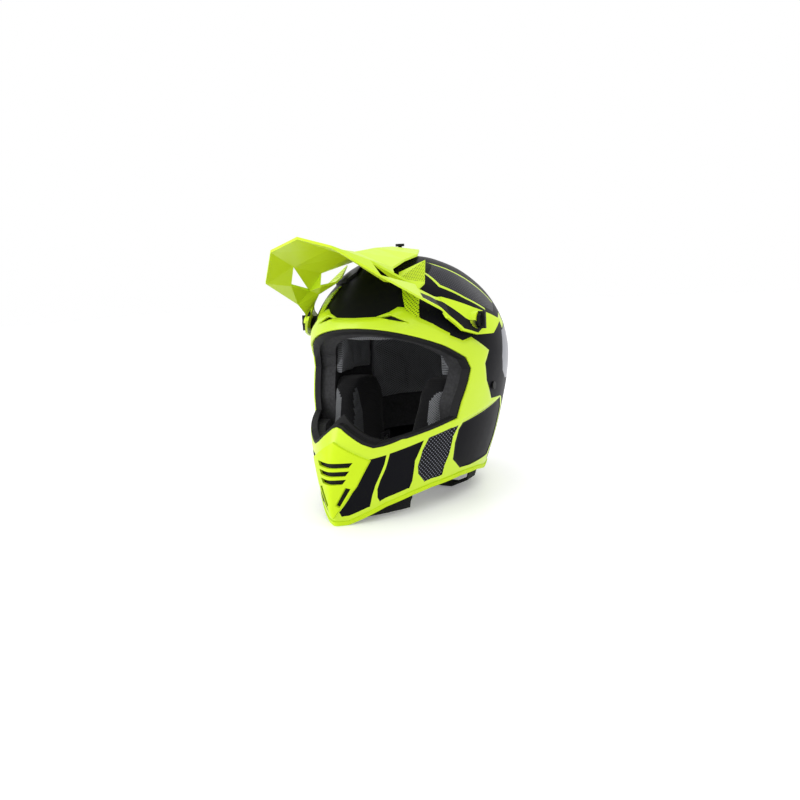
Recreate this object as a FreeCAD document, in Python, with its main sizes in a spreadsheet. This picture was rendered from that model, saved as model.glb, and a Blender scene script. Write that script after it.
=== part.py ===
"""Motocross helmet: a hard outer shell with a pointed chin bar, a foam impact liner and comfort pads inside,
and a tilting peak held by two side thumb screws and one centre screw.

Frame: millimetres, +Z up, -Y is the way the wearer looks, +X is the wearer's left. The origin lies on the
surface that the helmet stands on, on its middle plane and level with the ears. It stands on the chin tip
and on the neck roll.
"""

import FreeCAD, Part
import math
import os
import Sketcher
from FreeCAD import Placement, Rotation, Vector

doc = FreeCAD.newDocument("motocross_helmet")

# ---------------------------------------------------------------- driving dimensions
DIMENSIONS = {
    # shell dome, above its widest level
    "dome_base_z": 175.0,
    "dome_height": 123.0,
    "dome_half_width": 122.0,
    "dome_half_length": 147.0,
    "dome_base_y": 32.0,
    "dome_top_y": 14.0,
    # gaps between parts
    "seat_gap": 0.2,
    "running_gap": 0.3,
    "bore_clearance": 0.5,
    "pad_gap": 3.0,
    # walls, measured inward from the outer surface
    "shell_wall": 4.0,
    "liner_outer_inset": 4.6,
    "liner_inner_inset": 29.0,
    "chin_liner_inset": 19.0,
    "pad_outer_inset": 29.5,
    "pad_inner_inset": 40.0,
    "chin_liner_lift": 8.0,
    # level where the crown pad starts, and the front and rear ends of the side pads
    "crown_pad_z": 236.0,
    "side_pad_front_y": -30.0,
    "side_pad_rear_y": 60.0,
    # rubber edges
    "rim_lip": 1.2,
    "rim_lip_height": 5.0,
    "rim_bottom": 1.5,
    "port_trim_width": 3.0,
    "port_trim_depth": 9.0,
    "guard_inset": 9.4,
    "guard_wall": 3.0,
    # vents, how far they stand out of the shell
    "vent_proud": 4.0,
    "forehead_vent_proud": 1.5,
    "crown_vent_proud": 2.5,
    "rear_vent_proud": 3.0,
    "neck_vent_proud": 2.0,
    "spoiler_proud": 7.0,
    "vent_depth": 3.0,
    "vent_slot_top": 72.0,
    "vent_slot_pitch": 9.0,
    "vent_slot_height": 5.6,
    "gauze_thickness": 0.8,
    # peak and its screws
    "peak_wall": 2.6,
    "pivot_y": -28.0,
    "pivot_z": 217.0,
    "lug_inner_outset": 8.0,
    "lug_outer_outset": 11.0,
    "lug_seat_x": 121.2,
    "lug_seat_radius": 10.5,
    "lug_hole_radius": 3.3,
    "side_shank_radius": 3.0,
    "side_shank_length": 28.0,
    "side_head_radius": 8.0,
    "side_head_thickness": 4.0,
    "wing_length": 20.0,
    "wing_thickness": 4.0,
    "wing_height": 4.0,
    "boss_radius": 9.0,
    "nut_radius": 6.5,
    "nut_length": 11.0,
    "centre_screw_y": 12.0,
    "centre_shank_radius": 2.5,
    "centre_shank_length": 22.0,
    "centre_head_radius": 5.6,
    "centre_head_thickness": 3.0,
    "centre_drive_radius": 2.6,
    "centre_drive_depth": 1.8,
    "centre_head_z": 309.4,
    "centre_boss_top": 300.4,
    "centre_boss_radius": 5.5,
    "slot_travel": 9.2,
    # cheek pads
    "cheek_inner_x": 46.0,
    # neck roll
    "neck_roll_inset": 6.0,
    "neck_roll_depth": 24.0,
    "neck_roll_top": 44.0,
    "neck_roll_front_y": 80.0,
    "neck_roll_half_width": 56.0,
    # chin curtain
    "curtain_inset": 8.0,
    "curtain_wall": 6.0,
    "curtain_bottom": 3.0,
    "curtain_lift": 7.5,
    # chin strap
    "strap_width": 24.0,
    "strap_thickness": 2.0,
    "strap_y": 16.0,
    "strap_inset": 5.4,
    "anchor_z": 133.0,
    "ring_wire_radius": 1.6,
    "ring_half_width": 14.2,
    "ring_reach": 22.0,
    "ring_bar_z": 50.0,
    "inner_ring_x": 31.3,
    "outer_ring_x": 35.2,
    "rivet_head_radius": 5.0,
    "rivet_head_thickness": 1.4,
    "rivet_shank_radius": 2.2,
    "rivet_shank_length": 9.0,
    "rivet_proud": 0.8,
    "snap_radius": 6.0,
    "snap_thickness": 2.4,
    "snap_x": -37.7,
    "snap_z": 56.0,
}

sheet = doc.addObject("Spreadsheet::Sheet", "dims")
for row, (alias, value) in enumerate(DIMENSIONS.items(), start=1):
    sheet.set(f"A{row}", alias)
    sheet.set(f"B{row}", str(value))
    sheet.setAlias(f"B{row}", alias)
doc.recompute()


def dim(alias):
    """The value of one cell of the sheet."""
    return float(getattr(sheet, alias))


LEFT, RIGHT = 1, -1
SIDES = {"left": LEFT, "right": RIGHT}
FAR = 400.0  # a length well past the helmet on every side

# ---------------------------------------------------------------- shell surface
# Stations from the bottom up: height, half width, front y, rear y, y of the widest place, and the power
# that makes the front rounder (2) or more pointed (towards 1).
CHIN_STATIONS = [
    (-15.0, 80.0, -164.0, 104.0, 18.0, 1.25),
    (0.0, 86.0, -170.0, 114.0, 19.0, 1.27),
    (35.0, 97.0, -174.0, 136.0, 22.0, 1.32),
    (70.0, 107.0, -171.0, 155.0, 25.0, 1.42),
    (105.0, 114.0, -158.0, 170.0, 28.0, 1.60),
    (140.0, 120.0, -138.0, 178.0, 31.0, 1.85),
]
DOME_ANGLES = (0, 18, 36, 54, 70, 81, 88.5)


def dome_station(angle):
    """One station of the dome, at this angle above its base."""
    rise, reach = math.sin(math.radians(angle)), math.cos(math.radians(angle))
    middle = dim("dome_base_y") + (dim("dome_top_y") - dim("dome_base_y")) * rise
    return (
        dim("dome_base_z") + dim("dome_height") * rise,
        dim("dome_half_width") * reach,
        middle - dim("dome_half_length") * reach**1.2,
        middle + dim("dome_half_length") * reach,
        middle,
        2.0,
    )


STATIONS = CHIN_STATIONS + [dome_station(a) for a in DOME_ANGLES]


def station(place):
    """The station at a fractional index, on a cubic curve through the whole list."""
    last = len(STATIONS) - 1
    low = min(int(place), last - 1)
    t = place - low
    p0, p1 = STATIONS[low], STATIONS[low + 1]
    before = STATIONS[max(low - 1, 0)]
    after = STATIONS[min(low + 2, last)]
    values = []
    for a, b, c, d in zip(before, p0, p1, after):
        slope0 = (c - a) / 2 if low > 0 else c - b
        slope1 = (d - b) / 2 if low + 2 <= last else c - b
        values.append(
            (2 * t**3 - 3 * t**2 + 1) * b
            + (t**3 - 2 * t**2 + t) * slope0
            + (3 * t**2 - 2 * t**3) * c
            + (t**3 - t**2) * slope1
        )
    return values


def shell_point(place, turn, inset=0.0):
    """A point of the shell's surface, or of that surface moved inward by inset."""
    z, half, front, rear, middle, power = station(place)
    across, along = math.cos(turn), math.sin(turn)
    power = power if along < 0 else 2.0
    length = middle - front if along < 0 else rear - middle
    x = max(half - inset, 0.4) * math.copysign(abs(across) ** (2 / power), across)
    y = middle + max(length - inset, 0.4) * along
    above = max(z - dim("dome_base_z"), 0.0) / dim("dome_height")
    return Vector(x, y, z - inset * above)


SECTION_POINTS = 32
STATION_STEP = 0.5


def shell_solid(inset):
    """The solid inside the shell's surface moved inward by inset."""
    wires = []
    steps = int((len(STATIONS) - 1) / STATION_STEP)
    parameters = [k / SECTION_POINTS for k in range(SECTION_POINTS + 1)]
    for k in range(steps + 1):
        turns = [2 * math.pi * i / SECTION_POINTS for i in range(SECTION_POINTS)]
        points = [shell_point(k * STATION_STEP, turn, inset) for turn in turns]
        curve = Part.BSplineCurve()
        curve.interpolate(Points=points, PeriodicFlag=True, Parameters=parameters)
        wires.append(Part.Wire([curve.toShape()]))
    return Part.makeLoft(wires, True, False)


_solids = {}


def inside(inset):
    """shell_solid, made once for each inset."""
    if inset not in _solids:
        _solids[inset] = shell_solid(inset)
    return _solids[inset]


def layer(outer_inset, inner_inset):
    """The wall between two insets."""
    return inside(outer_inset).cut(inside(inner_inset))


# ---------------------------------------------------------------- prisms and other shape helpers
def side_prism(points, x_from=-FAR, x_to=FAR):
    """A prism along X over an outline of (y, z) points."""
    corners = [Vector(x_from, y, z) for y, z in points]
    return Part.Face(Part.makePolygon(corners + corners[:1])).extrude(Vector(x_to - x_from, 0, 0))


def front_prism(points, y_from=-FAR, y_to=-40.0):
    """A prism along Y over an outline of (x, z) points."""
    corners = [Vector(x, y_from, z) for x, z in points]
    return Part.Face(Part.makePolygon(corners + corners[:1])).extrude(Vector(0, y_to - y_from, 0))


def both_ways(points):
    """An outline given for x >= 0 from top to bottom, closed with its mirror image."""
    return points + [(-x, z) for x, z in reversed(points) if x > 0]


def grown(points, by):
    """A closed (a, b) outline with every side moved outward by this distance."""
    area = sum(p[0] * q[1] - q[0] * p[1] for p, q in zip(points, points[1:] + points[:1]))
    turn = math.copysign(1.0, area)
    moved = []
    for before, here, after in zip(points[-1:] + points[:-1], points, points[1:] + points[:1]):
        first = (Vector(*here, 0) - Vector(*before, 0)).normalize()
        second = (Vector(*after, 0) - Vector(*here, 0)).normalize()
        outward = Vector(first.y + second.y, -first.x - second.x, 0) * turn
        reach = by / (1 + first.dot(second))
        moved.append((here[0] + outward.x * reach, here[1] + outward.y * reach))
    return moved


def box(low, high):
    """A box between two corners."""
    size = [b - a for a, b in zip(low, high)]
    return Part.makeBox(*size, Vector(*low))


def mirrored(shape, side):
    """The shape as it is for the left side, or mirrored in X for the right one."""
    return shape if side == LEFT else shape.mirror(Vector(0, 0, 0), Vector(1, 0, 0))


def free_part(label, shape):
    """A sub-part whose shape is worked out above from the sheet."""
    feature = doc.addObject("Part::Feature", label)
    feature.Label = label
    feature.Shape = shape.removeSplitter() if shape.ShapeType == "Compound" else shape
    feature.Placement = Placement()
    PARTS.append(feature)
    return feature


PARTS = []

# ---------------------------------------------------------------- eyeport and rim outlines
PORT_SIDE = [
    (-240.0, 222.0),
    (-112.0, 215.0),
    (-88.0, 203.0),
    (-62.0, 190.0),
    (-38.0, 174.0),
    (-32.0, 160.0),
    (-38.0, 144.0),
    (-48.0, 122.0),
    (-53.0, 104.0),
    (-80.0, 98.0),
    (-120.0, 90.0),
    (-240.0, 60.0),
]
PORT_FRONT = both_ways(
    [(0.0, 215.0), (60.0, 216.0), (160.0, 216.0), (160.0, 92.0), (62.0, 91.0), (50.0, 86.0), (39.0, 85.0),
     (29.0, 90.0), (18.0, 98.0), (5.0, 107.5), (0.0, 109.0)]
)
RIM = [(-230.0, 0.0), (-163.0, 0.0), (-132.0, 15.0), (-105.0, 22.0), (-80.0, 26.0), (-31.0, 28.5),
       (12.0, 26.0), (43.0, 20.0), (80.0, 20.0), (130.0, 34.0), (260.0, 70.0)]


def port_cutter(growth):
    """What the eyeport removes, with its outline moved outward by growth."""
    side = side_prism(grown(PORT_SIDE, growth))
    front = front_prism(grown(PORT_FRONT, growth), y_to=-20.0)
    return side.common(front)


def above_rim(lift):
    """Everything over the rim line, lifted by this much."""
    return side_prism([(y, z + lift) for y, z in RIM] + [(260.0, FAR), (-230.0, FAR)])


# ---------------------------------------------------------------- vent outlines, in (x, z) or (y, z)
CHIN_VENT = both_ways([(0.0, 94.0), (14.0, 86.0), (37.0, 72.0), (24.0, 44.0), (0.0, 9.0)])
CHIN_OPENING = both_ways([(0.0, 74.0), (25.0, 74.0), (22.0, 46.0), (6.0, 20.0), (0.0, 20.0)])
BROW_SLOT = [(27.0, 226.5), (40.0, 229.0), (61.0, 218.5), (44.0, 222.0)]
FOREHEAD_VENT = [(42.0, 264.0), (64.0, 250.0), (70.0, 224.0), (57.0, 231.0)]
CROWN_VENT = [(-52.0, 27.0), (-2.0, 38.0), (-46.0, 62.0), (-62.0, 36.0)]
CROWN_OPENING = [(-44.0, 33.0), (-14.0, 38.0), (-42.0, 54.0), (-52.0, 38.0)]
REAR_VENT = [(10.0, 236.0), (46.0, 226.0), (38.0, 210.0), (10.0, 216.0)]
NECK_VENT = [(12.0, 92.0), (44.0, 98.0), (36.0, 78.0), (12.0, 74.0)]


def crown_prism(points):
    """A prism straight down on the crown over an outline of (y, x) points."""
    corners = [Vector(x, y, 230.0) for y, x in points]
    return Part.Face(Part.makePolygon(corners + corners[:1])).extrude(Vector(0, 0, 130.0))


def rear_prism(points):
    """A prism along Y behind the helmet over an outline of (x, z) points."""
    return front_prism(points, y_from=60.0, y_to=260.0)


def two_sided(shape):
    """The shape and its mirror image, as one."""
    return shape.fuse(mirrored(shape, RIGHT))


def side_bore(radius, y=None, z=None):
    """A bore along X through both sides, at the pivot unless another place is given."""
    start = Vector(-FAR, dim("pivot_y") if y is None else y, dim("pivot_z") if z is None else z)
    return Part.makeCylinder(radius, 2 * FAR, start, Vector(1, 0, 0))


def centre_bore(radius, low, high):
    """A round hole straight down at the centre screw."""
    start = Vector(0, dim("centre_screw_y"), low)
    return Part.makeCylinder(radius, high - low, start, Vector(0, 0, 1))


def rivet_bore():
    return side_bore(dim("rivet_shank_radius") + dim("running_gap"), dim("strap_y"), dim("anchor_z"))


def strap_channel(side, clearance=0.0):
    """The band between shell and foam that a strap runs down in."""
    inset = dim("strap_inset")
    half = dim("strap_width") / 2 + clearance
    band = layer(inset - clearance * 2, inset + dim("strap_thickness") + clearance)
    low, high = 13.0 - clearance, dim("anchor_z") + 12.0 + clearance
    strip = box((0, dim("strap_y") - half, low), (200, dim("strap_y") + half, high))
    return mirrored(band.common(strip), side)


# ---------------------------------------------------------------- shell and liners
def make_outer_shell():
    wall = layer(0.0, dim("shell_wall")).common(above_rim(dim("rim_bottom")))
    cutters = [port_cutter(0.0), front_prism(CHIN_OPENING)]
    for outline in (BROW_SLOT, FOREHEAD_VENT):
        cutters.append(two_sided(front_prism(outline, y_to=10.0)))
    cutters.append(two_sided(crown_prism(CROWN_OPENING)))
    cutters.append(two_sided(rear_prism(REAR_VENT)))
    cutters.append(two_sided(rear_prism(NECK_VENT)))
    cutters.append(side_bore(dim("side_shank_radius") + dim("bore_clearance")))
    cutters.append(centre_bore(dim("centre_shank_radius") + dim("bore_clearance"), 270.0, FAR))
    cutters.append(rivet_bore())
    for cutter in cutters:
        wall = wall.cut(cutter)
    return wall


def make_impact_liner():
    foam = layer(dim("liner_outer_inset"), dim("liner_inner_inset"))
    keep = side_prism([(-46.0, 58.0), (260.0, 58.0), (260.0, FAR), (-230.0, FAR), (-230.0, 182.0),
                       (-46.0, 182.0)])
    foam = foam.common(keep).cut(port_cutter(2.0))
    foam = foam.cut(side_bore(dim("nut_radius") + dim("running_gap")))
    foam = foam.cut(centre_bore(dim("nut_radius") + dim("running_gap"), 270.0, FAR))
    for side in SIDES.values():
        foam = foam.cut(strap_channel(side, dim("bore_clearance")))
    shank_hole = dim("rivet_shank_radius") + dim("bore_clearance")
    return foam.cut(side_bore(shank_hole, dim("strap_y"), dim("anchor_z")))


def make_chin_liner():
    foam = layer(dim("liner_outer_inset"), dim("chin_liner_inset")).common(above_rim(dim("chin_liner_lift")))
    keep = side_prism([(-230.0, 0.0), (-50.0, 0.0), (-50.0, 94.0), (-80.0, 94.0), (-120.0, 84.0),
                       (-230.0, 78.0)])
    return foam.common(keep).cut(front_prism(CHIN_OPENING))


def make_nose_guard():
    skin = layer(dim("guard_inset"), dim("guard_inset") + dim("guard_wall"))
    outline = both_ways([(0.0, 121.0), (14.0, 108.0), (30.0, 96.0), (44.0, 90.0), (44.0, 86.0), (30.0, 86.5),
                         (16.0, 86.5), (0.0, 86.5)])
    return skin.common(front_prism(outline)).cut(make_chin_liner())


free_part("outer_shell", make_outer_shell())
free_part("impact_liner", make_impact_liner())
free_part("chin_liner", make_chin_liner())
free_part("nose_guard", make_nose_guard())


# ---------------------------------------------------------------- rubber edges
def make_rim_trim():
    band = layer(-dim("rim_lip"), dim("shell_wall") + dim("rim_lip"))
    band = band.common(above_rim(0.0)).cut(above_rim(dim("rim_lip_height")))
    shell_wall = layer(0.0, dim("shell_wall")).common(above_rim(dim("rim_bottom")))
    return band.cut(shell_wall)


def make_eyeport_trim():
    band = layer(0.6, dim("port_trim_depth"))
    return band.common(port_cutter(-dim("seat_gap"))).cut(port_cutter(-dim("port_trim_width")))


free_part("rim_trim", make_rim_trim())
free_part("eyeport_trim", make_eyeport_trim())


# ---------------------------------------------------------------- vents
def make_chin_vent():
    plate = layer(-dim("vent_proud"), -dim("seat_gap")).common(front_prism(CHIN_VENT))
    for k in range(3):
        top = dim("vent_slot_top") - k * dim("vent_slot_pitch")
        half = 23.0 - k * 3.15
        low = top - dim("vent_slot_height")
        plate = plate.cut(front_prism(both_ways([(0.0, top), (half, top), (half - 4.0, low), (0.0, low)])))
    leg = [(15.0, 45.0), (20.0, 43.0), (8.0, 22.0), (4.5, 25.0)]
    return plate.cut(two_sided(front_prism(leg)))


def make_chin_gauze():
    inner = both_ways([(0.0, 73.5), (24.4, 73.5), (21.4, 46.3), (5.5, 20.6), (0.0, 20.6)])
    return layer(1.0, 1.0 + dim("gauze_thickness")).common(front_prism(inner))


free_part("chin_vent", make_chin_vent())
free_part("chin_vent_gauze", make_chin_gauze())

for name, side in SIDES.items():
    block = front_prism(grown(FOREHEAD_VENT, -dim("running_gap")), y_to=10.0)
    insert = layer(-dim("forehead_vent_proud"), dim("vent_depth")).common(block)
    free_part(f"forehead_vent_{name}", mirrored(insert, side))
    scoop = layer(-dim("crown_vent_proud"), -dim("seat_gap")).common(crown_prism(CROWN_VENT))
    free_part(f"crown_vent_{name}", mirrored(scoop, side))
    block = rear_prism(grown(REAR_VENT, -dim("running_gap")))
    grille = layer(-dim("rear_vent_proud"), dim("vent_depth")).common(block)
    free_part(f"rear_vent_{name}", mirrored(grille, side))
    block = rear_prism(grown(NECK_VENT, -dim("running_gap")))
    outlet = layer(-dim("neck_vent_proud"), dim("vent_depth")).common(block)
    free_part(f"neck_vent_{name}", mirrored(outlet, side))

SPOILER = both_ways([(0.0, 262.0), (34.0, 256.0), (52.0, 244.0), (44.0, 238.0), (0.0, 246.0)])
free_part("rear_spoiler", layer(-dim("spoiler_proud"), -dim("seat_gap")).common(rear_prism(SPOILER)))


# ---------------------------------------------------------------- comfort pads
def pad_layer():
    return layer(dim("pad_outer_inset"), dim("pad_inner_inset"))


def make_brow_pad():
    return pad_layer().common(box((-62, -200, 197), (62, -45, dim("crown_pad_z"))))


def make_crown_pad():
    return pad_layer().common(box((-200, -200, dim("crown_pad_z") + dim("pad_gap")), (200, 300, FAR)))


def make_side_pad(side):
    pad = pad_layer().common(box((0, dim("side_pad_front_y"), 150),
                                 (200, dim("side_pad_rear_y"), dim("crown_pad_z"))))
    return mirrored(pad, side)


def make_rear_pad():
    front = dim("side_pad_rear_y") + dim("pad_gap")
    return pad_layer().common(box((-200, front, 100), (200, 300, dim("crown_pad_z"))))


CHEEK_OUTLINE = [(-108.0, 40.0), (-96.0, 12.0), (-70.0, 6.0), (0.0, 6.0), (26.0, 14.0), (36.0, 40.0),
                 (34.0, 120.0), (18.0, 144.0), (-22.0, 147.0), (-46.0, 132.0), (-62.0, 96.0), (-100.0, 66.0)]


def make_cheek_pad(side):
    block = side_prism(CHEEK_OUTLINE, dim("cheek_inner_x"), 200.0)
    return mirrored(inside(dim("pad_outer_inset")).common(block), side)


def make_cheek_base(side):
    """The hard foam block between the cheek pad and the shell, below the impact liner."""
    block = side_prism([(-44.0, 35.0), (34.0, 35.0), (36.0, 57.4), (-44.0, 57.4)], 0.0, 200.0)
    wall = layer(dim("liner_outer_inset"), dim("liner_inner_inset"))
    base = mirrored(wall.common(block), side).cut(strap_channel(side, dim("bore_clearance")))
    return base.cut(rivet_bore())


def make_neck_roll():
    outer = dim("neck_roll_inset")
    ring = layer(outer, outer + dim("neck_roll_depth"))
    half = dim("neck_roll_half_width")
    return ring.common(box((-half, dim("neck_roll_front_y"), 0), (half, 300, dim("neck_roll_top"))))


def make_chin_curtain():
    """The soft flap under the chin bar, below its foam."""
    band = layer(dim("curtain_inset"), dim("curtain_inset") + dim("curtain_wall"))
    band = band.common(box((-200, -300, dim("curtain_bottom")), (200, -92, 60)))
    return band.cut(above_rim(dim("curtain_lift")))


free_part("brow_pad", make_brow_pad())
free_part("crown_pad", make_crown_pad())
free_part("rear_pad", make_rear_pad())
for name, side in SIDES.items():
    free_part(f"side_pad_{name}", make_side_pad(side))
    free_part(f"cheek_pad_{name}", make_cheek_pad(side))
    free_part(f"cheek_base_{name}", make_cheek_base(side))
free_part("neck_roll", make_neck_roll())
free_part("chin_curtain", make_chin_curtain())

# ---------------------------------------------------------------- peak
# Corners of the left half: c* on the middle line, k* on the roof's edge, w* on the wing and arm's lower
# edge, u* on the arm's upper edge, v* round the vented panel under the roof's edge.
PEAK_CORNERS = {
    "c0": (0, -206, 316), "c1": (0, -150, 306), "c2": (0, -97, 302), "c3": (0, -50, 307),
    "c4": (0, -8, 309),
    "c5": (0, 30, 306),
    "k0": (38, -202, 305), "k1": (50, -148, 290), "k2": (48, -97, 282), "k3": (42, -56, 291),
    "k4": (44, -26, 297),
    "k5": (30, 6, 303), "k6": (18, 30, 304.5),
    "w0": (75, -168, 273), "w1": (85, -97, 246), "w2": (94, -72, 234), "w3": (108, -47, 214),
    "m0": (61, -140, 269), "m1": (72, -90, 262),
    "u1": (52, -95, 266), "u2": (68, -76, 257), "u3": (82, -65, 247), "u4": (94, -52, 242),
    "v0": (39, -66, 276), "v1": (43, -75, 269), "v2": (55, -28, 289.5), "v3": (69, -60, 264),
}
PEAK_FACES = [
    "c0 k0 k1 c1", "c1 k1 k2 c2", "c2 k2 k3 c3", "c3 k3 k4 c4", "c4 k4 k5", "c4 k5 k6 c5",
    "k0 w0 m0 k1", "w0 w1 m1 m0", "k1 m1 u1 k2", "w1 u2 u1 m1", "w1 w2 u3 u2", "w2 w3 u4 u3",
    "u1 u2 v3 v1", "v1 v3 v2 v0",
]


def thick_sheet(corners, faces, wall):
    """A closed solid: the faces, the same faces moved down by the wall, and the edges between them."""
    top = {name: Vector(*p) for name, p in corners.items()}
    low = {name: p - Vector(0, 0, wall) for name, p in top.items()}
    triangles = []
    for face in faces:
        triangles += [(face[0], face[k], face[k + 1]) for k in range(1, len(face) - 1)]
    edges = {}
    for a, b, c in triangles:
        for edge in ((a, b), (b, c), (c, a)):
            edges[edge] = edges.get(edge, 0) + 1
    rim = [(a, b) for a, b in edges if (b, a) not in edges]
    corner_lists = [[top[a], top[b], top[c]] for a, b, c in triangles]
    corner_lists += [[low[a], low[c], low[b]] for a, b, c in triangles]
    for a, b in rim:
        corner_lists += [[top[b], top[a], low[a]], [top[b], low[a], low[b]]]
    sides = [Part.Face(Part.makePolygon(points + points[:1])) for points in corner_lists]
    solid = Part.Solid(Part.makeShell(sides))
    return solid if solid.Volume > 0 else solid.reversed()


def peak_half(side):
    names = {n: (n if p[0] == 0 else f"{n}_{side}") for n, p in PEAK_CORNERS.items()}
    corners = {names[n]: (p[0] * side, p[1], p[2]) for n, p in PEAK_CORNERS.items()}
    faces = [[names[n] for n in face.split()] for face in PEAK_FACES]
    if side == RIGHT:
        faces = [face[::-1] for face in faces]
    return corners, faces


LUG_OUTLINE = [(-64, 222), (-66, 236), (-60, 246), (-27, 232), (23, 214), (-1, 199), (-30, 200), (-50, 206)]


def make_lug(side):
    """The end of an arm: a curved plate clear of the shell, with a flat seat for the screw's head."""
    inner = inside(-dim("lug_inner_outset"))
    plate = inside(-dim("lug_outer_outset")).cut(inner).common(side_prism(LUG_OUTLINE, 0.0, 200.0))
    seat_start = Vector(80.0, dim("pivot_y"), dim("pivot_z"))
    seat_length = dim("lug_seat_x") - seat_start.x
    seat = Part.makeCylinder(dim("lug_seat_radius"), seat_length, seat_start, Vector(1, 0, 0))
    spot_face_start = Vector(dim("lug_seat_x"), dim("pivot_y"), dim("pivot_z"))
    plate = plate.cut(Part.makeCylinder(dim("lug_seat_radius"), 40.0, spot_face_start, Vector(1, 0, 0)))
    return mirrored(plate.fuse(seat.cut(inner)), side)


def make_peak():
    corners, faces = peak_half(LEFT)
    more_corners, more_faces = peak_half(RIGHT)
    corners.update(more_corners)
    peak = thick_sheet(corners, faces + more_faces, dim("peak_wall"))
    for side in SIDES.values():
        peak = peak.fuse(make_lug(side))
    half = dim("centre_shank_radius") + 0.4
    rear = dim("centre_screw_y")
    front = rear - dim("slot_travel")
    slot = box((-half, front, 280.0), (half, rear, 330.0))
    for end in (front, rear):
        slot = slot.fuse(Part.makeCylinder(half, 50.0, Vector(0, end, 280.0)))
    return peak.cut(side_bore(dim("lug_hole_radius"))).cut(slot)


free_part("peak", make_peak())


# ---------------------------------------------------------------- turned pieces
def origin_plane(body):
    return next(f for f in body.Origin.OriginFeatures if f.Role == "XY_Plane")


def add_sketch(body, name):
    sketch = body.newObject("Sketcher::SketchObject", name)
    sketch.AttachmentSupport = [(origin_plane(body), "")]
    sketch.MapMode = "FlatFace"
    return sketch


def add_disc(body, name, radius_cell, length_cell, inward=False):
    """A round pad that starts on the seat plane and goes outward, or inward into the helmet."""
    sketch = add_sketch(body, name + "_sketch")
    circle = sketch.addGeometry(Part.Circle(Vector(0, 0, 0), Vector(0, 0, 1), dim(radius_cell)))
    sketch.addConstraint(Sketcher.Constraint("Coincident", circle, 3, -1, 1))
    radius = sketch.addConstraint(Sketcher.Constraint("Radius", circle, dim(radius_cell)))
    sketch.setExpression(f"Constraints[{radius}]", f"dims.{radius_cell}")
    pad = body.newObject("PartDesign::Pad", name)
    pad.Profile = sketch
    pad.setExpression("Length", f"dims.{length_cell}")
    pad.Reversed = inward
    return pad


def add_drive(body, radius_cell, depth_cell, top_cell):
    """A round drive recess in the top of a head."""
    sketch = add_sketch(body, "drive_sketch")
    sketch.setExpression(".AttachmentOffset.Base.z", f"dims.{top_cell}")
    circle = sketch.addGeometry(Part.Circle(Vector(0, 0, 0), Vector(0, 0, 1), dim(radius_cell)))
    sketch.addConstraint(Sketcher.Constraint("Coincident", circle, 3, -1, 1))
    radius = sketch.addConstraint(Sketcher.Constraint("Radius", circle, dim(radius_cell)))
    sketch.setExpression(f"Constraints[{radius}]", f"dims.{radius_cell}")
    doc.recompute()
    pocket = body.newObject("PartDesign::Pocket", "drive")
    pocket.Profile = sketch
    pocket.setExpression("Length", f"dims.{depth_cell}")


def new_body(label, place, outward):
    body = doc.addObject("PartDesign::Body", label)
    body.Label = label
    body.Placement = Placement(place, Rotation(Vector(0, 0, 1), outward))
    PARTS.append(body)
    return body


def add_wing(body):
    """The thumb wing across a side screw's head."""
    sketch = add_sketch(body, "wing_sketch")
    half_length, half_thick = dim("wing_length") / 2, dim("wing_thickness") / 2
    corners = [(-half_length, -half_thick), (half_length, -half_thick), (half_length, half_thick),
               (-half_length, half_thick)]
    for start, end in zip(corners, corners[1:] + corners[:1]):
        sketch.addGeometry(Part.LineSegment(Vector(*start, 0), Vector(*end, 0)))
    for k in range(4):
        sketch.addConstraint(Sketcher.Constraint("Coincident", k, 2, (k + 1) % 4, 1))
    for k in (0, 2):
        sketch.addConstraint(Sketcher.Constraint("Horizontal", k))
        sketch.addConstraint(Sketcher.Constraint("Vertical", k + 1))
    sketch.addConstraint(Sketcher.Constraint("Symmetric", 0, 1, 2, 1, -1, 1))
    length = sketch.addConstraint(Sketcher.Constraint("Distance", 0, dim("wing_length")))
    thick = sketch.addConstraint(Sketcher.Constraint("Distance", 1, dim("wing_thickness")))
    sketch.setExpression(f"Constraints[{length}]", "dims.wing_length")
    sketch.setExpression(f"Constraints[{thick}]", "dims.wing_thickness")
    pad = body.newObject("PartDesign::Pad", "wing")
    pad.Profile = sketch
    pad.setExpression("Length", "dims.side_head_thickness + dims.wing_height")


for name, side in SIDES.items():
    outward = Vector(side, 0, 0)
    seat_x = dim("lug_seat_x") + dim("running_gap")
    pivot = Vector(side * seat_x, dim("pivot_y"), dim("pivot_z"))
    screw = new_body(f"peak_side_screw_{name}", pivot, outward)
    add_disc(screw, "head", "side_head_radius", "side_head_thickness")
    add_disc(screw, "shank", "side_shank_radius", "side_shank_length", inward=True)
    add_wing(screw)

centre_seat = Vector(0, dim("centre_screw_y"), dim("centre_head_z"))
screw = new_body("peak_centre_screw", centre_seat, Vector(0, 0, 1))
add_disc(screw, "head", "centre_head_radius", "centre_head_thickness")
add_disc(screw, "shank", "centre_shank_radius", "centre_shank_length", inward=True)
add_drive(screw, "centre_drive_radius", "centre_drive_depth", "centre_head_thickness")


# ---------------------------------------------------------------- bosses, nuts and rivets at the screws
def bored(shape, radius, start, axis):
    return shape.cut(Part.makeCylinder(radius, 2 * FAR, start - axis * FAR, axis))


def make_side_boss(side):
    """The spacer between the shell and an arm's end."""
    start = Vector(80.0, dim("pivot_y"), dim("pivot_z"))
    post = Part.makeCylinder(dim("boss_radius"), 60.0, start, Vector(1, 0, 0))
    post = post.common(inside(dim("running_gap") - dim("lug_inner_outset"))).cut(inside(-dim("seat_gap")))
    post = bored(post, dim("lug_hole_radius"), start, Vector(1, 0, 0))
    return mirrored(post, side)


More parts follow.
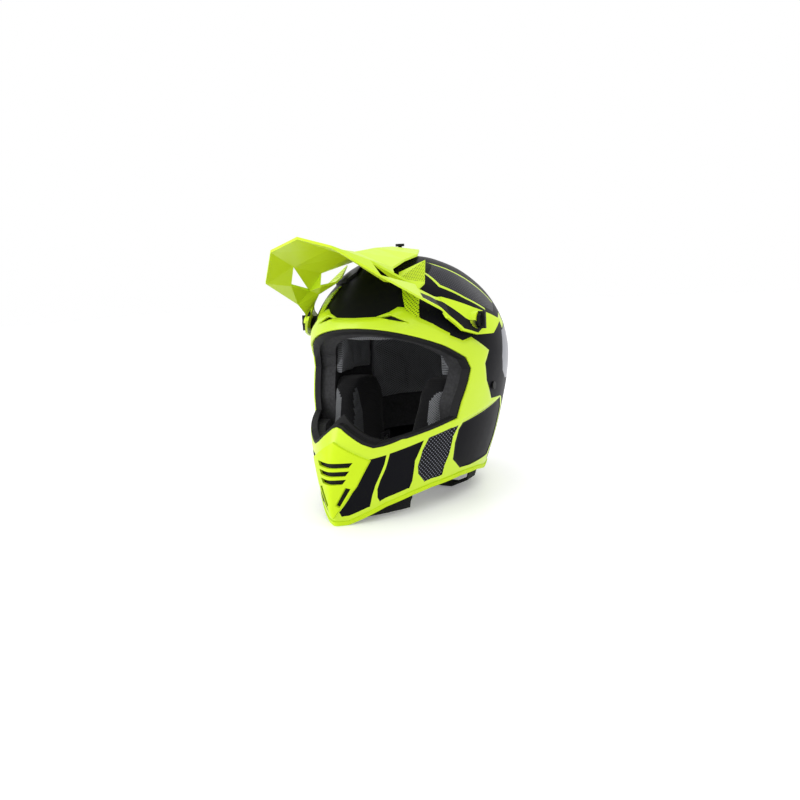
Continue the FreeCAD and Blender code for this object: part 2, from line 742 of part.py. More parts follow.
def make_side_nut(side):
    """The threaded insert behind the shell."""
    start = Vector(100.0 - dim("nut_length"), dim("pivot_y"), dim("pivot_z"))
    post = Part.makeCylinder(dim("nut_radius"), 40.0, start, Vector(1, 0, 0))
    post = post.common(inside(dim("shell_wall") + dim("seat_gap")))
    post = bored(post, dim("side_shank_radius") + dim("seat_gap"), start, Vector(1, 0, 0))
    return mirrored(post, side)


def make_centre_boss():
    start = Vector(0, dim("centre_screw_y"), 290.0)
    post = Part.makeCylinder(dim("centre_boss_radius"), dim("centre_boss_top") - 290.0, start)
    post = post.cut(inside(-dim("seat_gap")))
    return bored(post, dim("centre_shank_radius") + dim("running_gap"), start, Vector(0, 0, 1))


def make_centre_nut():
    start = Vector(0, dim("centre_screw_y"), 294.0 - dim("nut_length"))
    post = Part.makeCylinder(dim("nut_radius"), 30.0, start)
    post = post.common(inside(dim("shell_wall") + dim("seat_gap")))
    return bored(post, dim("centre_shank_radius") + dim("seat_gap"), start, Vector(0, 0, 1))


for name, side in SIDES.items():
    free_part(f"peak_side_boss_{name}", make_side_boss(side))
    free_part(f"peak_side_nut_{name}", make_side_nut(side))
free_part("peak_centre_boss", make_centre_boss())
free_part("peak_centre_nut", make_centre_nut())


# ---------------------------------------------------------------- chin strap
def ribbon(points, thickness):
    """A closed outline around an open line of (x, z) points, half the thickness to each side."""
    left_side, right_side = [], []
    for k, here in enumerate(points):
        before = points[max(k - 1, 0)]
        after = points[min(k + 1, len(points) - 1)]
        first = Vector(here[0] - before[0], here[1] - before[1], 0) if k > 0 else None
        second = Vector(after[0] - here[0], after[1] - here[1], 0) if k < len(points) - 1 else None
        first = (first or second).normalize()
        second = (second or first).normalize()
        outward = Vector(first.y + second.y, -first.x - second.x, 0)
        reach = thickness / 2 / (1 + first.dot(second))
        left_side.append((here[0] + outward.x * reach, here[1] + outward.y * reach))
        right_side.append((here[0] - outward.x * reach, here[1] - outward.y * reach))
    return left_side + right_side[::-1]


def strap_band(points):
    """A strip of webbing along a line of (x, z) points."""
    half = dim("strap_width") / 2
    outline = ribbon(points, dim("strap_thickness"))
    return front_prism(outline, dim("strap_y") - half, dim("strap_y") + half)


def make_strap(side):
    """Webbing from its rivet down beside the cheek pad, under it, and up its inner face."""
    band = strap_channel(LEFT)
    turn = [(84.5, 17.5), (83.0, 13.0), (62.0, 3.4), (43.0, 3.4), (41.0, 5.4)]
    middle_x = (dim("inner_ring_x") + dim("outer_ring_x")) / 2
    if side == LEFT:
        run = turn + [(39.0, 20.0), (middle_x, 43.0)]
        band = band.fuse(strap_band(run)).fuse(make_strap_loop(middle_x))
    else:
        band = band.fuse(strap_band(turn + [(39.0, 40.0), (39.0, 66.0)]))
    bore = rivet_bore().common(box((60, -200, 0), (200, 200, 200)))
    return mirrored(band.cut(bore), side)


def make_strap_loop(middle_x):
    """The sewn loop that both rings hang in."""
    half = dim("strap_width") / 2
    hollow_x, hollow_z = 4.4, 3.0
    bar_z = dim("ring_bar_z")
    wall = dim("strap_thickness")
    outer = box((middle_x - hollow_x - wall, dim("strap_y") - half, bar_z - hollow_z - wall - 3.0),
                (middle_x + hollow_x + wall, dim("strap_y") + half, bar_z + hollow_z + wall))
    inner = box((middle_x - hollow_x, -FAR, bar_z - hollow_z), (middle_x + hollow_x, FAR, bar_z + hollow_z))
    return outer.cut(inner)


def make_ring(x):
    """A D-shaped wire ring with its straight bar along Y in the strap's loop."""
    radius = dim("ring_half_width")
    middle_y = dim("strap_y")
    bar_z = dim("ring_bar_z")
    straight = dim("ring_reach") - radius
    ends = [Vector(x, middle_y + k * radius, bar_z) for k in (-1, 1)]
    tops = [end + Vector(0, 0, straight) for end in ends]
    crown = Vector(x, middle_y, bar_z + dim("ring_reach"))
    path = Part.Wire([
        Part.makeLine(ends[0], ends[1]),
        Part.makeLine(ends[1], tops[1]),
        Part.Arc(tops[1], crown, tops[0]).toShape(),
        Part.makeLine(tops[0], ends[0]),
    ])
    wire_start = Part.makeCircle(dim("ring_wire_radius"), Vector(x, middle_y, bar_z), Vector(0, 1, 0))
    section = Part.Wire([wire_start])
    return path.makePipeShell([section], True, False, 1)


for name, side in SIDES.items():
    free_part(f"strap_{name}", make_strap(side))
free_part("d_ring_inner", make_ring(dim("inner_ring_x")))
free_part("d_ring_outer", make_ring(dim("outer_ring_x")))


def shell_side_x(y, z, inset=0.0):
    """How far out the side of the shell is at this place."""
    line = Part.makeLine(Vector(20, y, z), Vector(300, y, z))
    return line.common(inside(inset)).BoundBox.XMax


for name, side in SIDES.items():
    head_x = shell_side_x(dim("strap_y"), dim("anchor_z")) + dim("rivet_proud")
    rivet = new_body(f"strap_rivet_{name}", Vector(side * head_x, dim("strap_y"), dim("anchor_z")),
                     Vector(side, 0, 0))
    add_disc(rivet, "head", "rivet_head_radius", "rivet_head_thickness")
    add_disc(rivet, "shank", "rivet_shank_radius", "rivet_shank_length", inward=True)

snap = new_body("strap_snap", Vector(dim("snap_x"), dim("strap_y"), dim("snap_z")), Vector(1, 0, 0))
add_disc(snap, "button", "snap_radius", "snap_thickness")

# ---------------------------------------------------------------- check and export
doc.recompute()
for feature in PARTS:
    if "Invalid" in feature.State or "Error" in feature.State:
        raise RuntimeError(f"{feature.Label} is {feature.State}")
    if feature.Shape.isNull() or not feature.Shape.isValid():
        raise RuntimeError(f"{feature.Label} has no valid shape")

os.makedirs("parts", exist_ok=True)
for feature in PARTS:
    shape = feature.Shape
    print(feature.Label, len(shape.Solids), shape.isValid(), round(shape.Volume))
    shape.exportStep(os.path.join("parts", feature.Label + ".step"))
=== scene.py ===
import math

import bmesh
import bpy
from mathutils import Matrix, Vector


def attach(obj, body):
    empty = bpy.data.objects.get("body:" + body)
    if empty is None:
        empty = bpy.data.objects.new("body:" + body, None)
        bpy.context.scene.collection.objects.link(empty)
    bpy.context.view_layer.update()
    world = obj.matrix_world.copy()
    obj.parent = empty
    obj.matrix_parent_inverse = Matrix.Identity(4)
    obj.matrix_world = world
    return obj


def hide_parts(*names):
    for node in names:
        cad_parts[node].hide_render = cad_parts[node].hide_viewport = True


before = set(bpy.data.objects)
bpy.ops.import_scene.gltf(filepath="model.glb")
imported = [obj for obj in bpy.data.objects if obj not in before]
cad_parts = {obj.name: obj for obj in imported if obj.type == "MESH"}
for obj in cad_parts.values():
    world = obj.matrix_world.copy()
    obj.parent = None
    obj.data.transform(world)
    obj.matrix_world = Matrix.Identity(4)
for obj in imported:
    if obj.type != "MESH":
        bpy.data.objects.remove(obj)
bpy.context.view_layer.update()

MM = 0.001
BODY = "helmet"

# ---------------------------------------------------------------- colours (linear)
FLUO = (0.54, 0.74, 0.014)
# painted shade: a darker yellow for the peak's faces that look down
FLUO_PAINTED_SHADE = (0.42, 0.56, 0.008)
BLACK = (0.005, 0.005, 0.007)
NEAR_BLACK = (0.009, 0.009, 0.010)
PALE_GREY = (0.20, 0.205, 0.235)
LINING_GREY = (0.16, 0.165, 0.175)
DOT_GREY = (0.22, 0.23, 0.27)
HOLE_BLACK = (0.01, 0.01, 0.01)
STEEL = (0.55, 0.55, 0.57)


# ---------------------------------------------------------------- materials
class Nodes:
    """A material with a Principled shader, and short calls that add nodes to it."""

    def __init__(self, name):
        self.material = bpy.data.materials.new(name)
        self.material.use_nodes = True
        self.tree = self.material.node_tree
        self.shader = self.tree.nodes["Principled BSDF"]
        self.place = self.tree.nodes.new("ShaderNodeTexCoord").outputs["Object"]

    def add(self, kind, **settings):
        node = self.tree.nodes.new(kind)
        for key, value in settings.items():
            setattr(node, key, value)
        return node

    def link(self, output, socket):
        self.tree.links.new(output, socket)

    def math(self, operation, first, second=0.0):
        node = self.add("ShaderNodeMath", operation=operation)
        for socket, value in zip(node.inputs, (first, second)):
            if isinstance(value, (int, float)):
                socket.default_value = value
            else:
                self.link(value, socket)
        return node.outputs[0]

    def noise(self, size, detail=3.0):
        node = self.add("ShaderNodeTexNoise")
        node.inputs["Scale"].default_value = 1.0 / size
        node.inputs["Detail"].default_value = detail
        self.link(self.place, node.inputs["Vector"])
        return node.outputs["Fac"]

    def spread(self, value, low, high):
        """The value from 0..1 stretched over low..high."""
        return self.math("ADD", self.math("MULTIPLY", value, high - low), low)

    def mix(self, factor, first, second):
        node = self.add("ShaderNodeMix", data_type="RGBA")
        self.link(factor, node.inputs["Factor"])
        for socket, value in zip((node.inputs[6], node.inputs[7]), (first, second)):
            if isinstance(value, tuple):
                socket.default_value = (*value, 1.0)
            else:
                self.link(value, socket)
        return node.outputs[2]

    def bump(self, height, distance, strength=1.0):
        node = self.add("ShaderNodeBump")
        node.inputs["Distance"].default_value = distance
        node.inputs["Strength"].default_value = strength
        self.link(height, node.inputs["Height"])
        self.link(node.outputs["Normal"], self.shader.inputs["Normal"])

    def dots(self, pitch, radius, axes=(1, 2)):
        """1 inside round dots on a staggered grid of this pitch, in two of the object's axes."""
        split = self.add("ShaderNodeSeparateXYZ")
        self.link(self.place, split.inputs[0])
        first = self.math("DIVIDE", split.outputs[axes[0]], pitch)
        second = self.math("DIVIDE", split.outputs[axes[1]], pitch)
        turned = (self.math("ADD", first, second), self.math("SUBTRACT", first, second))
        offsets = [self.math("SUBTRACT", self.math("FRACT", value), 0.5) for value in turned]
        squares = [self.math("MULTIPLY", value, value) for value in offsets]
        return self.math("LESS_THAN", self.math("ADD", *squares), radius * radius)

    def weave(self, pitch):
        """Crossing ribs of this pitch, 0 in the valleys and 1 on the crowns."""
        split = self.add("ShaderNodeSeparateXYZ")
        self.link(self.place, split.inputs[0])
        turn = 2 * math.pi / pitch
        waves = [self.math("SINE", self.math("MULTIPLY", split.outputs[k], turn)) for k in range(3)]
        product = self.math("MULTIPLY", self.math("MULTIPLY", waves[0], waves[1]), waves[2])
        summed = self.math("ADD", self.math("ADD", waves[0], waves[1]), waves[2])
        return self.spread(self.math("ADD", product, self.math("MULTIPLY", summed, 0.3)), 0.5, 0.9)

    def set(self, **values):
        for name, value in values.items():
            self.shader.inputs[name.replace("_", " ")].default_value = value


def gloss_paint(name, colour, roughness=0.24, glow=0.0, coat=0.35, specular=0.5):
    """Lacquered paint with a faint orange-peel surface."""
    n = Nodes(name)
    shade = tuple(c * 0.90 for c in colour)
    n.link(n.mix(n.noise(0.06), shade, colour), n.shader.inputs["Base Color"])
    n.link(n.spread(n.noise(0.012, 4.0), roughness - 0.05, roughness + 0.07), n.shader.inputs["Roughness"])
    n.set(Coat_Weight=coat, Coat_Roughness=0.14, Specular_IOR_Level=specular)
    n.set(Emission_Color=(*colour, 1.0), Emission_Strength=glow)
    n.bump(n.noise(0.0035, 2.0), 0.00006, 0.5)
    return n.material


def moulded(name, colour, roughness=0.45, glow=0.0, grain=0.0006):
    """Moulded plastic or rubber with a fine grain."""
    n = Nodes(name)
    shade = tuple(c * 0.85 for c in colour)
    n.link(n.mix(n.noise(0.03), shade, colour), n.shader.inputs["Base Color"])
    n.link(n.spread(n.noise(0.008, 5.0), roughness - 0.08, roughness + 0.10), n.shader.inputs["Roughness"])
    n.set(Specular_IOR_Level=0.1, Emission_Color=(*colour, 1.0), Emission_Strength=glow)
    n.bump(n.noise(grain, 2.0), 0.00008, 0.6)
    return n.material


def peak_plastic(name):
    """Satin yellow plastic, with painted shade: a darker yellow on the faces that look down."""
    n = Nodes(name)
    facing = n.add("ShaderNodeNewGeometry")
    split = n.add("ShaderNodeSeparateXYZ")
    n.link(facing.outputs["True Normal"], split.inputs[0])
    down = n.math("LESS_THAN", split.outputs[2], -0.15)
    # painted shade: the faces that look down take the darker yellow
    n.link(n.mix(down, FLUO, FLUO_PAINTED_SHADE), n.shader.inputs["Base Color"])
    n.link(n.spread(n.noise(0.01, 4.0), 0.30, 0.44), n.shader.inputs["Roughness"])
    n.set(Specular_IOR_Level=0.3, Emission_Color=(*FLUO, 1.0), Emission_Strength=0.04)
    n.bump(n.noise(0.0008, 2.0), 0.00006, 0.5)
    return n.material


def dotted(name, ground, spot, pitch, radius, axes=(1, 2), roughness=0.35):
    """Paint with small printed dots."""
    n = Nodes(name)
    n.link(n.mix(n.dots(pitch, radius, axes), ground, spot), n.shader.inputs["Base Color"])
    n.link(n.spread(n.noise(0.01, 4.0), roughness - 0.05, roughness + 0.08), n.shader.inputs["Roughness"])
    n.set(Specular_IOR_Level=0.08)
    n.bump(n.noise(0.003, 2.0), 0.00005, 0.5)
    return n.material


def cloth(name, colour, pitch, depth=0.0004):
    """Knitted or woven fabric: ribs with painted shade in their valleys, sheen and a slightly uneven dye."""
    n = Nodes(name)
    ribs = n.weave(pitch)
    dark, light = tuple(c * 0.55 for c in colour), tuple(c * 1.25 for c in colour)
    dyed = n.mix(n.noise(0.02), tuple(c * 0.85 for c in colour), light)
    # painted shade: the weave's valleys take a darker colour than its crowns
    n.link(n.mix(ribs, dark, dyed), n.shader.inputs["Base Color"])
    n.set(Roughness=0.92, Specular_IOR_Level=0.1, Sheen_Weight=0.06, Sheen_Roughness=0.5)
    n.bump(ribs, depth, 0.8)
    return n.material


def air_mesh(name, colour, axes, pitch=0.0028):
    """Spacer mesh: small dark holes in a knitted ground, seen along the axis that isn't in axes."""
    n = Nodes(name)
    holes = n.dots(pitch, 0.30, axes)
    ground = n.mix(n.noise(0.015), tuple(c * 0.8 for c in colour), colour)
    n.link(n.mix(holes, ground, tuple(c * 0.25 for c in colour)), n.shader.inputs["Base Color"])
    n.set(Roughness=0.9, Specular_IOR_Level=0.2, Sheen_Weight=0.1)
    n.bump(n.math("SUBTRACT", 1.0, holes), 0.0005, 0.7)
    return n.material


def bead_foam(name):
    """Moulded bead foam: small rounded cells, with painted shade darkening the seams between them."""
    n = Nodes(name)
    cells = n.add("ShaderNodeTexVoronoi")
    cells.inputs["Scale"].default_value = 1.0 / 0.0035
    n.link(n.place, cells.inputs["Vector"])
    # painted shade: the colour darkens towards each cell's edge, where the bump sinks
    n.link(n.mix(cells.outputs["Distance"], (0.030, 0.030, 0.033), (0.012, 0.012, 0.013)),
           n.shader.inputs["Base Color"])
    n.set(Roughness=0.85)
    n.bump(n.math("SUBTRACT", 1.0, cells.outputs["Distance"]), 0.0003, 0.6)
    return n.material


def metal(name, colour, roughness):
    """Metal with fine uneven polish."""
    n = Nodes(name)
    n.link(n.mix(n.noise(0.004), tuple(c * 0.8 for c in colour), colour), n.shader.inputs["Base Color"])
    n.link(n.spread(n.noise(0.001, 5.0), roughness - 0.08, roughness + 0.12), n.shader.inputs["Roughness"])
    n.set(Metallic=1.0)
    n.bump(n.noise(0.0005, 2.0), 0.00003, 0.4)
    return n.material


PAINT_YELLOW = gloss_paint("paint_yellow", FLUO, 0.34, 0.05, 0.15, 0.35)
PAINT_BLACK = gloss_paint("paint_black", BLACK, 0.40, 0.0, 0.0, 0.05)
PAINT_GREY = gloss_paint("paint_grey", PALE_GREY, 0.30, 0.0, 0.1, 0.3)
PAINT_DOTS = dotted("paint_dots", BLACK, DOT_GREY, 0.0046, 0.20)
PAINT_CARBON = dotted("paint_carbon", (0.016, 0.016, 0.020), (0.050, 0.050, 0.058), 0.0040, 0.34, (0, 1))
PEAK_YELLOW = peak_plastic("peak_yellow")
PERFORATED = dotted("perforated", FLUO, HOLE_BLACK, 0.0030, 0.28, (0, 1), 0.4)
VENT_YELLOW = moulded("vent_yellow", FLUO, 0.36, 0.06)
VENT_HOLES = dotted("vent_holes", FLUO, HOLE_BLACK, 0.0034, 0.24, (0, 2), 0.4)
TRIM_YELLOW = moulded("trim_yellow", FLUO, 0.5, 0.04)
PLASTIC_BLACK = moulded("plastic_black", NEAR_BLACK, 0.38)
RUBBER_BLACK = moulded("rubber_black", (0.014, 0.014, 0.015), 0.55, grain=0.0004)
FOAM_BLACK = bead_foam("foam_black")
LINING_BLACK = cloth("lining_black", (0.009, 0.009, 0.010), 0.0022)
MESH_FRONT = air_mesh("mesh_front", LINING_GREY, (0, 2))
MESH_SIDE = air_mesh("mesh_side", LINING_GREY, (1, 2))
MESH_CROWN = air_mesh("mesh_crown", LINING_GREY, (0, 1))
LINING_SOFT = cloth("lining_soft", (0.060, 0.062, 0.067), 0.0026)
WEBBING = cloth("webbing", (0.016, 0.016, 0.018), 0.0018, 0.0003)
STEEL_WIRE = metal("steel_wire", STEEL, 0.28)
GAUZE = dotted("gauze", (0.004, 0.004, 0.004), (0.03, 0.03, 0.03), 0.0024, 0.36, (0, 2), 0.5)

# ---------------------------------------------------------------- shell surface, as the CAD part has it (mm)
DOME_BASE, DOME_HEIGHT, DOME_HALF_WIDTH, DOME_HALF_LENGTH = 175.0, 123.0, 122.0, 147.0
DOME_BASE_Y, DOME_TOP_Y = 32.0, 14.0
SHELL_WALL = 3.6
LEAST_REACH = 0.3
# Height, half width, front y, rear y, y of the widest place, and the power that makes the front pointed.
CHIN_STATIONS = [
    (-15.0, 80.0, -164.0, 104.0, 18.0, 1.25),
    (0.0, 86.0, -170.0, 114.0, 19.0, 1.27),
    (35.0, 97.0, -174.0, 136.0, 22.0, 1.32),
    (70.0, 107.0, -171.0, 155.0, 25.0, 1.42),
    (105.0, 114.0, -158.0, 170.0, 28.0, 1.60),
    (140.0, 120.0, -138.0, 178.0, 31.0, 1.85),
]
DOME_ANGLES = (0, 18, 36, 54, 70, 81, 90)


def dome_station(angle):
    """One station of the dome, at this angle above its base."""
    rise, reach = math.sin(math.radians(angle)), max(math.cos(math.radians(angle)), 0.0)
    middle = DOME_BASE_Y + (DOME_TOP_Y - DOME_BASE_Y) * rise
    return (DOME_BASE + DOME_HEIGHT * rise, DOME_HALF_WIDTH * reach, middle - DOME_HALF_LENGTH * reach**1.2,
            middle + DOME_HALF_LENGTH * reach, middle, 2.0)


STATIONS = CHIN_STATIONS + [dome_station(a) for a in DOME_ANGLES]
LAST_STATION = len(STATIONS) - 1


def station(place):
    """The station at a fractional index, on a cubic curve through the whole list."""
    low = min(int(place), LAST_STATION - 1)
    t = place - low
    before, after = STATIONS[max(low - 1, 0)], STATIONS[min(low + 2, LAST_STATION)]
    values = []
    for a, b, c, d in zip(before, STATIONS[low], STATIONS[low + 1], after):
        slope0 = (c - a) / 2 if low > 0 else c - b
        slope1 = (d - b) / 2 if low + 2 <= LAST_STATION else c - b
        values.append((2 * t**3 - 3 * t**2 + 1) * b + (t**3 - 2 * t**2 + t) * slope0
                      + (3 * t**2 - 2 * t**3) * c + (t**3 - t**2) * slope1)
    return values


def shell_point(place, turn):
    """A point of the shell's outer surface, at a fractional station and an angle round it."""
    z, half, front, rear, middle, power = station(place)
    across, along = math.cos(turn), math.sin(turn)
    power = power if along < 0 else 2.0
    length = middle - front if along < 0 else rear - middle
    x = max(half, LEAST_REACH) * math.copysign(abs(across) ** (2 / power), across)
    y = middle + max(length, LEAST_REACH) * along
    return Vector((x, y, z))


# ---------------------------------------------------------------- outlines (mm)
def both_ways(points):
    """An outline given for x >= 0 from top to bottom, closed with its mirror image."""
    return points + [(-x, z) for x, z in reversed(points) if x > 0]


PORT_SIDE = [(-240, 222), (-112, 215), (-88, 203), (-62, 190), (-38, 174), (-32, 160), (-38, 144),
             (-48, 122), (-53, 104), (-80, 98), (-120, 90), (-240, 60)]
PORT_FRONT = both_ways([(0, 215), (60, 216), (160, 216), (160, 92), (62, 91), (50, 86), (39, 85), (29, 90),
                        (18, 98), (5, 107.5), (0, 109)])
RIM = [(-230, 0), (-163, 0), (-132, 15), (-105, 22), (-80, 26), (-31, 28.5), (12, 26), (43, 20), (80, 20),
       (130, 34), (260, 70)]
RIM_LIFT = 1.5
RIM_STRIPE = 9.0
CHIN_OPENING = both_ways([(0, 74), (25, 74), (22, 46), (6, 20), (0, 20)])
BROW_SLOT = [(27, 226.5), (40, 229), (61, 218.5), (44, 222)]

BROW_BAND = both_ways([(0, 226.5), (26, 227), (40, 232), (47, 237), (54, 236), (63, 231), (71, 223),
                       (82, 216), (96, 204), (96, 185), (0, 200)])
PORT_BAND = [(-110, 222), (-88, 212), (-71, 209), (-40, 194), (-27, 197), (4, 178), (-6, 163), (-2, 142),
             (15, 117), (48, 115), (-43, 98), (-60, 80), (-70, 150), (-110, 190)]
JAW = [(-230, -30), (-230, 130), (-60, 108), (-43, 98), (-8, 104), (48, 115), (56, 112), (68, 99), (60, 60),
       (48, 36), (46, -30)]
JAW_PANELS = {
    "rear": [(-43, 97), (-8, 103), (48, 113.5), (61, 98), (53, 60), (40, 39), (-5, 38), (-33, 38), (-52, 54),
             (-53, 74), (-49, 90)],
    "dots": [(-52, 96), (-57, 84), (-60, 62), (-64, 50), (-65, 38), (-88, 33), (-100, 47), (-102, 57),
             (-98, 75), (-91, 88)],
    "middle": [(-132, 77), (-97, 86), (-106, 64), (-106, 40), (-109, 29), (-137, 20), (-141, 28), (-142, 38),
               (-140, 48), (-136, 60)],
    "front": [(-135, 76), (-149, 73), (-153, 62), (-159, 46), (-170, 16), (-166, 5), (-147, 16), (-146, 31),
              (-144, 43), (-140, 56), (-137, 66)],
}
CROWN_PANEL = [(-31, 273), (-6, 284), (20, 266), (60, 232), (40, 222), (-13, 242), (-35, 257)]
CROWN_STRIPES = [
    [(-34, 274), (-31, 276), (-33, 259), (-12, 243.5), (18, 228), (18, 225.5), (-13, 241), (-37, 257)],
    [(-6, 287), (-4, 283), (21, 265), (60, 232), (62, 233.5), (22, 268)],
]
REAR_GREY = [(52, 198), (100, 206), (150, 190), (160, 160), (120, 132), (62, 136), (46, 148), (42, 166)]
REAR_YELLOW = [(52, 214), (70, 220), (78, 206), (58, 200)]

FRONT_Y = -40.0
PORT_BAND_RISE, BROW_BAND_RISE, BAND_SLOPE = 1.8, 2.6, 4.0
PANEL_SINK, PANEL_SLOPE = 0.9, 1.5

PAINT = [PAINT_BLACK, PAINT_YELLOW, PAINT_DOTS, PAINT_CARBON, PAINT_GREY]
K_BLACK, K_YELLOW, K_DOTS, K_CARBON, K_GREY = range(5)


def contains(outline, a, b):
    """Whether the point (a, b) lies inside a closed outline."""
    inside = False
    for (a0, b0), (a1, b1) in zip(outline, outline[1:] + outline[:1]):
        if (b0 > b) != (b1 > b) and a < (a1 - a0) * (b - b0) / (b1 - b0) + a0:
            inside = not inside
    return inside


def edge_distance(outline, a, b):
    """The distance from a point to the nearest side of an outline."""
    best = 1e9
    for (a0, b0), (a1, b1) in zip(outline, outline[1:] + outline[:1]):
        run = (a1 - a0) ** 2 + (b1 - b0) ** 2
        t = min(max(((a - a0) * (a1 - a0) + (b - b0) * (b1 - b0)) / run, 0.0), 1.0)
        best = min(best, math.hypot(a - a0 - t * (a1 - a0), b - b0 - t * (b1 - b0)))
    return best


# Each view of an outline: which of a point's coordinates it uses, and where on the helmet it applies.
SIDE = ((1, 2), lambda p: abs(p.x) > 2.0)
FRONT = ((0, 2), lambda p: p.y < FRONT_Y)


def score(mesh, outline, view):
    """Cuts the mesh's faces along an outline seen from the side or the front."""
    (first, second), applies = view
    margin = 8.0
    low = [min(p[k] for p in outline) - margin for k in (0, 1)]
    high = [max(p[k] for p in outline) + margin for k in (0, 1)]
    faces = []
    for face in mesh.faces:
        p = face.verts[0].co
        if applies(p) and low[0] < p[first] < high[0] and low[1] < p[second] < high[1]:
            faces.append(face)
    for (a0, b0), (a1, b1) in zip(outline, outline[1:] + outline[:1]):
        near = [f for f in faces if f.is_valid and touches(f, first, second, a0, b0, a1, b1)]
        parts = set(near)
        for face in near:
            parts.update(face.edges)
            parts.update(face.verts)
        point, normal = Vector((0, 0, 0)), Vector((0, 0, 0))
        point[first], point[second] = a0, b0
        normal[first], normal[second] = b1 - b0, a0 - a1
        cut = bmesh.ops.bisect_plane(mesh, geom=list(parts), dist=0.02, plane_co=point, plane_no=normal)
        known = set(faces)
        faces += [g for g in cut["geom"] if isinstance(g, bmesh.types.BMFace) and g not in known]


def touches(face, first, second, a0, b0, a1, b1):
    """Whether a face's box meets the box of one side of an outline."""
    firsts = [v.co[first] for v in face.verts]
    seconds = [v.co[second] for v in face.verts]
    return (min(firsts) <= max(a0, a1) + 0.5 and max(firsts) >= min(a0, a1) - 0.5
            and min(seconds) <= max(b0, b1) + 0.5 and max(seconds) >= min(b0, b1) - 0.5)


def in_port(p):
    """Whether a point of the shell is in the eyeport."""
    return p.y < -20 and contains(PORT_SIDE, p.y, p.z) and contains(PORT_FRONT, p.x, p.z)


def rim_outline(lift):
    """Everything under the rim line, lifted by this much."""
    return [(y, z + lift) for y, z in RIM] + [(260, -60), (-230, -60)]


def paint_of(p):
    """The index in PAINT of the colour at a point of the shell."""
    y, z = p.y, p.z
    if contains(rim_outline(RIM_LIFT + RIM_STRIPE), y, z):
        return K_YELLOW
    for name, panel in JAW_PANELS.items():
        if contains(panel, y, z):
            return K_DOTS if name == "dots" else K_BLACK
    if contains(JAW, y, z) or contains(PORT_BAND, y, z):
        return K_YELLOW
    if y < FRONT_Y and contains(BROW_BAND, p.x, z):
        return K_YELLOW
    if any(contains(stripe, y, z) for stripe in CROWN_STRIPES) or contains(REAR_YELLOW, y, z):
        return K_YELLOW
    if contains(CROWN_PANEL, y, z):
        return K_CARBON
    return K_GREY if contains(REAR_GREY, y, z) else K_BLACK


def relief(p):
    """How far the surface stands out at a point: the eyeport's bands are raised, the jaw panels sunk."""
    rise = 0.0
    if contains(PORT_BAND, p.y, p.z):
        rise = PORT_BAND_RISE * min(edge_distance(PORT_BAND, p.y, p.z) / BAND_SLOPE, 1.0)
    if p.y < FRONT_Y and contains(BROW_BAND, p.x, p.z):
        rise = max(rise, BROW_BAND_RISE * min(edge_distance(BROW_BAND, p.x, p.z) / BAND_SLOPE, 1.0))
    for panel in JAW_PANELS.values():
        if contains(panel, p.y, p.z):
            rise -= PANEL_SINK * min(edge_distance(panel, p.y, p.z) / PANEL_SLOPE, 1.0)
    return rise


def finish_mesh(mesh, name, materials):
    """A linked object made from a bmesh in millimetres."""
    bmesh.ops.scale(mesh, vec=(MM, MM, MM), verts=mesh.verts)
    data = bpy.data.meshes.new(name)
    mesh.to_mesh(data)
    mesh.free()
    for material in materials:
        data.materials.append(material)
    piece = bpy.data.objects.new(name, data)
    bpy.context.scene.collection.objects.link(piece)
    return piece


def apply_modifiers(piece):
    """Turns the piece's modifiers into plain mesh."""
    graph = bpy.context.evaluated_depsgraph_get()
    done = bpy.data.meshes.new_from_object(piece.evaluated_get(graph))
    piece.modifiers.clear()
    piece.data = done


def make_shell():
    """The painted shell, with its eyeport, slots and rim."""
    mesh = bmesh.new()
    rings, spokes = 200, 400
    start = 0.2
    rows = []
    for i in range(rings):
        place = start + (LAST_STATION - start) * i / rings
        rows.append([mesh.verts.new(shell_point(place, 2 * math.pi * k / spokes)) for k in range(spokes)])
    top = mesh.verts.new(shell_point(LAST_STATION, 0.0))
    top.co.x, top.co.y = 0.0, DOME_TOP_Y
    for low, high in zip(rows, rows[1:]):
        for k in range(spokes):
            n = (k + 1) % spokes
            mesh.faces.new((low[k], low[n], high[n], high[k]))
    for k in range(spokes):
        mesh.faces.new((rows[-1][k], rows[-1][(k + 1) % spokes], top))
    side_outlines = [PORT_SIDE, rim_outline(RIM_LIFT), rim_outline(RIM_LIFT + RIM_STRIPE), JAW, PORT_BAND]
    side_outlines += list(JAW_PANELS.values()) + [CROWN_PANEL, REAR_GREY, REAR_YELLOW] + CROWN_STRIPES
    for outline in side_outlines:
        score(mesh, outline, SIDE)
    slots = [BROW_SLOT, [(-x, z) for x, z in BROW_SLOT], CHIN_OPENING]
    for outline in [PORT_FRONT, BROW_BAND] + slots:
        score(mesh, outline, FRONT)
    gone = []
    for face in mesh.faces:
        p = face.calc_center_median()
        in_slot = p.y < FRONT_Y and any(contains(slot, p.x, p.z) for slot in slots)
        if in_port(p) or in_slot or contains(rim_outline(RIM_LIFT), p.y, p.z):
            gone.append(face)
        else:
            face.material_index = paint_of(p)
            face.smooth = True
    bmesh.ops.delete(mesh, geom=gone, context="FACES")
    mesh.normal_update()
    moves = [(v, v.normal * relief(v.co)) for v in mesh.verts]
    for vert, move in moves:
        vert.co += move
    shell = finish_mesh(mesh, "shell_painted", PAINT + [PLASTIC_BLACK])
    wall = shell.modifiers.new("wall", "SOLIDIFY")
    wall.thickness = SHELL_WALL * MM
    wall.offset = -1.0
    wall.use_rim = True
    wall.material_offset = len(PAINT)
    wall.material_offset_rim = 0
    apply_modifiers(shell)
    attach(shell, BODY)
    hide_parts("outer_shell")


make_shell()


# ---------------------------------------------------------------- CAD parts that keep their shape
def repaint(node, material):
    """Gives a CAD node one material and leaves its shape alone."""
    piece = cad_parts[node]
    piece.data.materials.clear()
    piece.data.materials.append(material)


